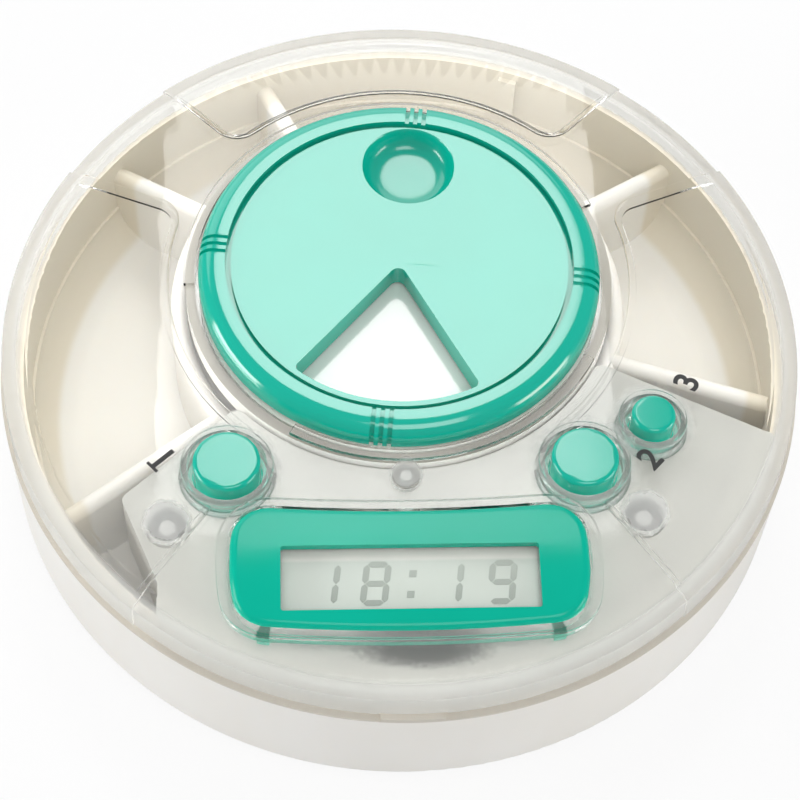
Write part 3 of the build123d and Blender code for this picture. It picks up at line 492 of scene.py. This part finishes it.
# %% A finish for frosted plastic
def frosted(name, colour, roughness, see_through, shades=()):
    """Milky plastic, darker inside soft ovals of painted shade."""
    finish = Finish(name)
    cloud = finish.noise(9 * MM, 3.0)
    sparkle = finish.noise(0.25 * MM, 1.0)
    shade = finish.blend(cloud.above(0.5, 0.3), colour, tuple(0.94 * c for c in colour))
    grains = finish.noise(0.7 * MM, 2.0)
    for dark, (x, y), (reach_x, reach_y) in shades:
        across = (finish.axis("X") - x) / reach_x
        along = (finish.axis("Y") - y) / reach_y
        nearness = across * across + along * along + 0.7 * (grains - 0.5)
        shade = finish.blend(nearness.above(0.6, 0.5), dark, shade)
    surface = finish.node("ShaderNodeBsdfPrincipled", sockets={
        "Base Color": shade, "Roughness": roughness + 0.1 * (cloud - 0.5),
        "Normal": finish.bump(sparkle, 0.006 * MM)})
    inside = finish.node("ShaderNodeBsdfTranslucent", sockets={"Color": (*colour, 1.0)})
    milky = finish.node("ShaderNodeMixShader", sockets={0: 0.3, 1: surface, 2: inside})
    through = finish.node("ShaderNodeBsdfTransparent", sockets={"Color": (0.95, 0.95, 0.94, 1.0)})
    return finish.end(finish.node("ShaderNodeMixShader", sockets={0: see_through, 1: milky, 2: through}))


frosted_plastic = frosted("frosted_plastic", linear(214, 213, 208), 0.38, 0.08)
# Painted shade on the sheet: a grey band along the front of the display bezel, and a dark smear in front of
# its middle.
painted_shade_ovals = (                      # colour, middle, half its width and depth
    (linear(138, 142, 138), (0, -53.6 * MM), (23 * MM, 2.2 * MM)),
    (linear(42, 44, 44), (1.9 * MM, -55.4 * MM), (11.5 * MM, 3.4 * MM)))
frosted_sheet = frosted("frosted_sheet", linear(218, 218, 213), 0.38, 0.08, shades=painted_shade_ovals)
print("frosted finishes ready")

# %% [markdown]
# ## Metal, board and display
#
# The screws, the coin cell and its contacts are plain bright metal with a brushed or rolled grain.
# The board is glass fibre under green lacquer, so a fine weave shows through it. The display is a
# pale grey-green glass whose polariser has a slight vertical grain.


# %% Finishes for what is inside
def metal(name, colour, roughness, stretch, bare=1.0):
    """Rolled or plated metal. A `bare` share below 1 makes it shine less than real metal does."""
    finish = Finish(name)
    grain = finish.noise(0.6 * MM, 2.0, stretch)
    return finish.end(finish.node("ShaderNodeBsdfPrincipled", sockets={
        "Base Color": finish.blend(grain, colour, tuple(0.86 * c for c in colour)),
        "Metallic": bare, "Roughness": roughness + 0.12 * (grain - 0.5),
        "Normal": finish.bump(grain, 0.003 * MM)}))


def lacquered_board():
    finish = Finish("board_lacquer")
    weave = finish.node("ShaderNodeTexChecker", output=1, sockets={
        "Vector": finish.place(), "Scale": 1 / (0.45 * MM)})
    cloud = finish.noise(6 * MM, 2.0)
    green = finish.blend(weave, linear(20, 92, 58), linear(24, 104, 66))
    return finish.end(finish.node("ShaderNodeBsdfPrincipled", sockets={
        "Base Color": finish.blend(cloud.above(0.6, 0.3), green, linear(16, 80, 50)),
        "Roughness": 0.28 + 0.1 * weave, "Normal": finish.bump(weave, 0.004 * MM)}))


def display_glass(strip_edge):
    """Grey glass with a fine grain, and a paler band behind the line y = strip_edge: painted light that lifts
    the shadow of the bezel's back edge there.
    """
    finish = Finish("display_glass")
    grain = finish.noise(0.5 * MM, 2.0, (1, 0.08, 1))
    cloud = finish.noise(14 * MM, 1.0)
    shade = finish.blend(cloud.above(0.5, 0.3), linear(187, 194, 187), linear(182, 189, 181))
    shade = finish.blend(0.25 * grain, shade, linear(172, 179, 171))
    # Painted light: behind strip_edge the glass is paler, so the shadow that the bezel's back edge casts
    # there renders lighter.
    shade = finish.blend(finish.axis("Y").above(strip_edge, 0.35 * MM), shade, linear(208, 207, 201))
    return finish.end(finish.node("ShaderNodeBsdfPrincipled", sockets={
        "Base Color": shade, "Roughness": 0.3 + 0.08 * grain, "Normal": finish.bump(grain, 0.001 * MM)}))


def display_crystal(front, back):
    """The grey of the digits, which fades from the front of the display to its back."""
    finish = Finish("display_crystal")
    reach = (finish.axis("Y") - front) / (back - front)
    speck = finish.noise(0.15 * MM, 1.0)
    shade = finish.blend(reach + 0.2 * (speck - 0.5), linear(132, 140, 132), linear(152, 159, 151))
    return finish.end(finish.node("ShaderNodeBsdfPrincipled", sockets={
        "Base Color": shade, "Roughness": 0.35 + 0.1 * speck, "Normal": finish.bump(speck, 0.001 * MM)}))


zinc = metal("plated_screws", (0.60, 0.60, 0.58), 0.45, (1, 1, 1), bare=0.2)
steel = metal("bright_steel", (0.86, 0.86, 0.85), 0.42, (1, 6, 1), bare=0.4)
gold = metal("contact_gold", (0.83, 0.62, 0.27), 0.3, (1, 1, 1))
board_lacquer = lacquered_board()
shadowed_strip_edge, digits_front, digits_back = -41.6 * MM, -49.3 * MM, -41.8 * MM
display_grey = display_glass(shadowed_strip_edge)
digit_grey = display_crystal(digits_front, digits_back)
print("finishes in all:", len(bpy.data.materials))

# %% [markdown]
# ## Dress the CAD nodes
#
# Each node gets a finish. Those that are seen from outside, and those that bend light, are replaced by
# smooth copies. Only the battery cap's copy is also rounded, so that its edges catch the light.

# %% Choose a finish for each node
outside = {
    "base_tray": (white_plastic, 0), "outlet_plate": (plate_plastic, 0),
    "clear_cover": (clear_plastic, 0), "selector_dial": (dial_green, 0),
    "display_bezel": (bezel_green, 0), "display_lens": (lens_plastic, 0),
    "electronics_panel": (frosted_sheet, 0), "electronics_housing": (frosted_plastic, 0),
    "dial_retainer": (plate_plastic, 0), "rubber_feet": (rubber, 0), "battery_cap": (black_plastic, 0.1 * MM),
    "button_1": (green_plastic, 0), "button_2": (green_plastic, 0), "button_3": (green_plastic, 0),
}
inside = {
    "circuit_board": board_lacquer, "contact_pads": gold, "clock_chip": black_plastic, "clock_crystal": steel,
    "board_capacitors": ceramic, "buzzer": black_plastic, "coin_cell": steel, "cell_holder": black_plastic,
    "cell_contact_top": steel, "cell_contact_side": steel, "housing_screws": zinc, "panel_screw": zinc,
    "board_screws": steel, "lcd_connector": silicone,
    "button_pad_1": silicone, "button_pad_2": silicone, "button_pad_3": silicone,
}
centre = Vector((0, 0, 0))
rings = {"clear_cover": [(centre, 58 * MM, 2)], "base_tray": [(centre, 54 * MM, 1)],
         "selector_dial": [(dial_axis, 27 * MM, 1)]}
pieces = {}
for name, (finish, rounding) in outside.items():
    pieces[name] = smooth_copy(name, rounding=rounding, rings=rings.get(name, ()))
    pieces[name].data.materials.clear()
    pieces[name].data.materials.append(finish)
for name, finish in inside.items():
    nodes[name].data.materials.clear()
    nodes[name].data.materials.append(finish)
print("replaced:", len(outside), "kept:", len(inside), "of", len(nodes))

# %% [markdown]
# ## The thumb dimple
#
# A thumb turns the dial by a round dimple. The CAD model cuts it with a ball. Here it becomes a dish,
# nearly flat below, with walls that rise steeply to the rim. The dimple's faces in the dial's copy are
# subdivided, and each of their points is lowered onto the dish's curve. The rim stays where it is.

# %% Turn the ball's mark into a dish
dial = pieces["selector_dial"]


def from_dimple(point):
    return hypot(point.x - dimple_middle.x, point.y - dimple_middle.y)


dish_steepness = 8
dimple_bottom = min(vertex.co.z for vertex in dial.data.vertices
                    if from_dimple(vertex.co) < 0.5 * dimple_radius and vertex.co.z > dial_axis.z - 1.0 * MM)
select_faces(dial, lambda polygon: from_dimple(polygon.center) < dimple_radius and polygon.normal.z > 0.5
             and polygon.center.z > dimple_bottom - 0.1 * MM)
bpy.ops.mesh.subdivide(number_cuts=3)
bpy.ops.object.mode_set(mode="OBJECT")
dimple_points = [vertex for vertex in dial.data.vertices
                 if vertex.select and from_dimple(vertex.co) < 0.985 * dimple_radius]
dimple_depth = max(vertex.co.z for vertex in dimple_points) - dimple_bottom
for vertex in dimple_points:
    vertex.co.z = dimple_bottom + dimple_depth * (from_dimple(vertex.co) / dimple_radius) ** dish_steepness
print("dimple points:", len(dimple_points), "depth", round(dimple_depth / MM, 2), "mm")

# %% [markdown]
# ## The display's glass
#
# A liquid crystal display is two sheets of glass with a thin film between them. From outside it is
# one thin slab whose edges are ground. A cube with the slab's measures is bevelled, and it stops a
# tenth of a millimetre under the lens, which leaves room for the digits.


# %% Helpers for new pieces
def slab(centre, size):
    """A box of the given size whose place and size are in its mesh."""
    clear_selection()
    bpy.ops.mesh.primitive_cube_add(size=1, location=centre, scale=size)
    bpy.ops.object.transform_apply(location=True, rotation=True, scale=True)
    return bpy.context.object


def complete(piece, name, body, finish, replaced=None):
    """Name a new piece, give it its finish, and say what it rides on and stands for."""
    select_only(piece)
    bpy.ops.object.shade_smooth_by_angle(angle=radians(28))
    piece.name = piece.data.name = name
    piece.data.materials.clear()
    piece.data.materials.append(finish)
    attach(piece, body)
    if replaced:
        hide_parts(replaced)
    print(name, "has", len(piece.data.polygons), "faces")


# %% Model the slab
lcd_top = lens_low.z - 0.10 * MM
lcd_middle = (lcd_low + lcd_high) / 2
lcd_size = lcd_high - lcd_low
glass_middle = (lcd_middle.x, lcd_middle.y, (lcd_low.z + lcd_top) / 2)
glass = slab(glass_middle, (lcd_size.x, lcd_size.y, lcd_top - lcd_low.z))
select_faces(glass, lambda polygon: True)
bpy.ops.mesh.bevel(offset=0.12 * MM, segments=2, affect="EDGES")
bpy.ops.object.mode_set(mode="OBJECT")
complete(glass, "display_slab", nodes["lcd_panel"]["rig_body"], display_grey, replaced="lcd_panel")

# %% [markdown]
# ## The digits
#
# Each digit is made of seven bars, and each bar is a flat strip with pointed ends. One bar is modelled:
# a thin slab whose end faces are extruded and then pinched. Its copies are placed by a table that says
# where each of the seven stands and which of them a digit lights. A small shear leans them to the right.


# %% Model one bar
def display_bar(length, width, thickness):
    bar = slab((0, 0, 0), (length - width, width, thickness))
    for side in (-1, 1):
        select_faces(bar, lambda polygon: polygon.normal.x * side > 0.9)
        bpy.ops.mesh.extrude_region_move(TRANSFORM_OT_translate={"value": (side * width / 2, 0, 0)})
        bpy.ops.transform.resize(value=(1, 0.12, 1), center_override=(side * length / 2, 0, 0))
        bpy.ops.object.mode_set(mode="OBJECT")
    return bar


bar_width, bar_thickness = 1.0 * MM, 0.05 * MM
half_width, half_height = 1.65 * MM, 3.25 * MM
lying_bar = display_bar(2 * half_width - 0.30 * MM, bar_width, bar_thickness)
standing_bar = display_bar(half_height - 0.15 * MM, bar_width, bar_thickness)
dot = slab((0, 0, 0), (1.15 * MM, 1.2 * MM, bar_thickness))
print("one bar has", len(lying_bar.data.polygons), "faces")

# %% Place the bars of the digits
turned = Matrix.Rotation(pi / 2, 4, "Z")
bar_places = {                      # bar: (model, across, along)
    "top": (lying_bar, 0, 1), "middle": (lying_bar, 0, 0), "bottom": (lying_bar, 0, -1),
    "upper_left": (standing_bar, -1, 0.5), "upper_right": (standing_bar, 1, 0.5),
    "lower_left": (standing_bar, -1, -0.5), "lower_right": (standing_bar, 1, -0.5),
}
lit_bars = {
    "1": ("upper_right", "lower_right"),
    "8": tuple(bar_places),
    "9": ("top", "middle", "bottom", "upper_left", "upper_right", "lower_right"),
}
display_middle = Vector((0.0, -45.55 * MM, lcd_top + bar_thickness / 2))
digit_places = (("1", -13.0 * MM), ("8", -5.3 * MM), ("1", 5.85 * MM), ("9", 13.95 * MM))
lean = Matrix(((1, 0.13, 0, 0), (0, 1, 0, 0), (0, 0, 1, 0), (0, 0, 0, 1)))


def display_copy(model, place, across, along):
    """A copy of a bar or dot, leaned about the display's middle line, with its place in its mesh."""
    mesh = model.data.copy()
    if model is standing_bar:
        mesh.transform(turned)
    mesh.transform(Matrix.Translation(display_middle + Vector((place, 0, 0))) @ lean
                   @ Matrix.Translation(Vector((across, along, 0))))
    copy = bpy.data.objects.new("display_mark", mesh)
    bpy.context.scene.collection.objects.link(copy)
    return copy


marks = []
for digit, place in digit_places:
    for bar in lit_bars[digit]:
        model, across, along = bar_places[bar]
        marks.append(display_copy(model, place, across * half_width, along * half_height))
for along in (1.6 * MM, -1.9 * MM):
    marks.append(display_copy(dot, 0.2 * MM, 0, along))
clear_selection()
for mark in marks:
    mark.select_set(True)
bpy.context.view_layer.objects.active = marks[0]
bpy.ops.object.join()
complete(marks[0], "display_digits", nodes["lcd_panel"]["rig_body"], digit_grey)
for model in (lying_bar, standing_bar, dot):
    bpy.data.objects.remove(model)

# %% [markdown]
# ## The printed numerals
#
# Beside each button the lid carries a small printed character, here a plain number. Pad printing leaves
# a film of ink a few hundredths of a millimetre thick. Blender's own letters give the outline, which is
# thickened, made a mesh, and only then turned and moved, so that the piece itself stays at the origin.

# %% Print the numerals
numeral_height, ink_thickness = 5.6 * MM, 0.03 * MM
lid_face = 28.0 * MM
numerals = {"1": (-38.1, -23.2), "2": (38.5, -24.3), "3": (45.7, -10.2)}
for character, (x, y) in numerals.items():
    clear_selection()
    bpy.ops.object.text_add(location=(0, 0, 0))
    letter = bpy.context.object
    letter.data.body, letter.data.size = character, numeral_height
    letter.data.align_x, letter.data.align_y = "CENTER", "CENTER"
    letter.data.offset, letter.data.extrude = 0.12 * MM, ink_thickness / 2
    bpy.ops.object.convert(target="MESH")
    if character == "1":
        foot = slab((0, -0.365 * numeral_height, 0),
                    (0.42 * numeral_height, 0.09 * numeral_height, ink_thickness))
        select_only(letter)
        foot.select_set(True)
        bpy.ops.object.join()
    place = Vector((x * MM, y * MM, lid_face + ink_thickness / 2))
    up = Vector((dial_axis.x, dial_axis.y, 0)) - Vector((place.x, place.y, 0))
    turn = Matrix.Rotation(atan2(up.y, up.x) - pi / 2, 4, "Z")
    letter.data.transform(Matrix.Translation(place) @ turn)
    complete(letter, "numeral_" + character, "cover", ink)

# %% [markdown]
# ## The camera
#
# The box stands on a table and is seen from the front, from well above. The camera's direction,
# distance and roll are those of a long lens about 40 cm away.

# %% Set the camera
camera_distance = 400 * MM
camera_elevation, camera_azimuth, camera_roll = radians(59.097), radians(-4.378), radians(3.190)
focal_in_pixels, frame_pixels, sensor = 2321.6, 800, 36.0
target = Vector((0.73 * MM, 4.18 * MM, 0.0))

camera_data = bpy.data.cameras.new("camera")
camera = bpy.data.objects.new("camera", camera_data)
bpy.context.scene.collection.objects.link(camera)
camera_data.lens = focal_in_pixels / frame_pixels * sensor
camera_data.sensor_width = sensor
camera_data.clip_start = 0.01
camera.location = camera_distance * Vector((
    cos(camera_elevation) * sin(camera_azimuth),
    -cos(camera_elevation) * cos(camera_azimuth),
    sin(camera_elevation)))
look = (target - camera.location).to_track_quat("-Z", "Y")
camera.rotation_euler = (look.to_matrix() @ Matrix.Rotation(camera_roll, 3, "Z")).to_euler()
bpy.context.scene.camera = camera
bpy.context.scene.view_settings.view_transform = "Standard"
print("camera at", tuple(round(v / MM, 1) for v in camera.location), "lens", round(camera_data.lens, 2))

# %% [markdown]
# ## Light and floor
#
# Five soft boxes light the object. One hangs above and behind it and faces straight down. The dial's
# flat face mirrors that one towards the camera, which washes the green with white there, while its
# sloping rim stays deep. The others stand in front, at both sides and at the back. The camera sees the
# world as white and the floor as nearly white. A small share of the floor is really lit, which keeps
# a faint shadow. Reflections see both of them dimmer than the camera does.

# %% Set the lights
def soft_box(name, place, aim, width, height, radiance):
    """A flat rectangular light at a place, facing a point, with the given brightness of its surface."""
    data = bpy.data.lights.new(name, "AREA")
    data.shape, data.size, data.size_y = "RECTANGLE", width, height
    data.energy = radiance * pi * width * height
    lamp = bpy.data.objects.new(name, data)
    bpy.context.scene.collection.objects.link(lamp)
    lamp.location = place
    lamp.rotation_euler = (aim - place).to_track_quat("-Z", "Y").to_euler()
    print(name, "power", round(data.energy, 2), "W")


stage_centre = Vector((0.0, 0.0, 0.02))
soft_box("mirrored_box", Vector((0.024, 0.470, 0.688)), Vector((0.024, 0.470, 0.0)), 0.225, 0.31, 4.8)
soft_box("front_box", Vector((0.12, -0.42, 0.88)), stage_centre, 0.46, 0.46, 3.0)
soft_box("left_box", Vector((-0.85, -0.08, 0.16)), stage_centre, 0.5, 0.28, 7.4)
soft_box("right_box", Vector((0.85, -0.32, 0.16)), stage_centre, 0.5, 0.28, 5.4)
soft_box("back_box", Vector((-0.20, 0.86, 0.44)), stage_centre, 1.3, 0.76, 1.2)


# %% Set the world and the floor
def white_where_seen(finish, kind, lit_shader, direct, mirrored):
    """Mostly plain white for the camera and through clear plastic, a dimmer white in reflections.

    The share that `direct` leaves over is really lit, and so carries the object's shadow.
    """
    seen, glossy, through = [finish.node("ShaderNodeLightPath", output="Is " + ray + " Ray")
                             for ray in ("Camera", "Glossy", "Transmission")]
    plain = finish.node("ShaderNodeMath", {"operation": "MAXIMUM"}, {0: direct * seen, 1: direct * through})
    white, dim = [finish.node(kind, sockets={"Color": (1.0, 1.0, 1.0, 1.0), "Strength": strength})
                  for strength in (1.0, mirrored)]
    lit = finish.node("ShaderNodeMixShader", sockets={0: glossy, 1: lit_shader, 2: dim})
    return finish.node("ShaderNodeMixShader", sockets={0: plain, 1: lit, 2: white})


sky = Finish(bpy.data.worlds.new("studio"), "ShaderNodeOutputWorld")
fill = sky.node("ShaderNodeBackground", sockets={"Color": (0.97, 0.98, 1.0, 1.0), "Strength": 0.52})
bpy.context.scene.world = sky.end(white_where_seen(sky, "ShaderNodeBackground", fill, 1.0, 0.2))

clear_selection()
bpy.ops.mesh.primitive_plane_add(size=4.0, location=(0, 0, 0))
floor = bpy.context.object
floor.name = "floor"
floor_finish = Finish("floor_white")
paper = floor_finish.node("ShaderNodeBsdfDiffuse", sockets={"Color": (0.9, 0.9, 0.9, 1.0)})
floor_white = white_where_seen(floor_finish, "ShaderNodeEmission", paper, 0.82, 0.35)
floor.data.materials.append(floor_finish.end(floor_white))
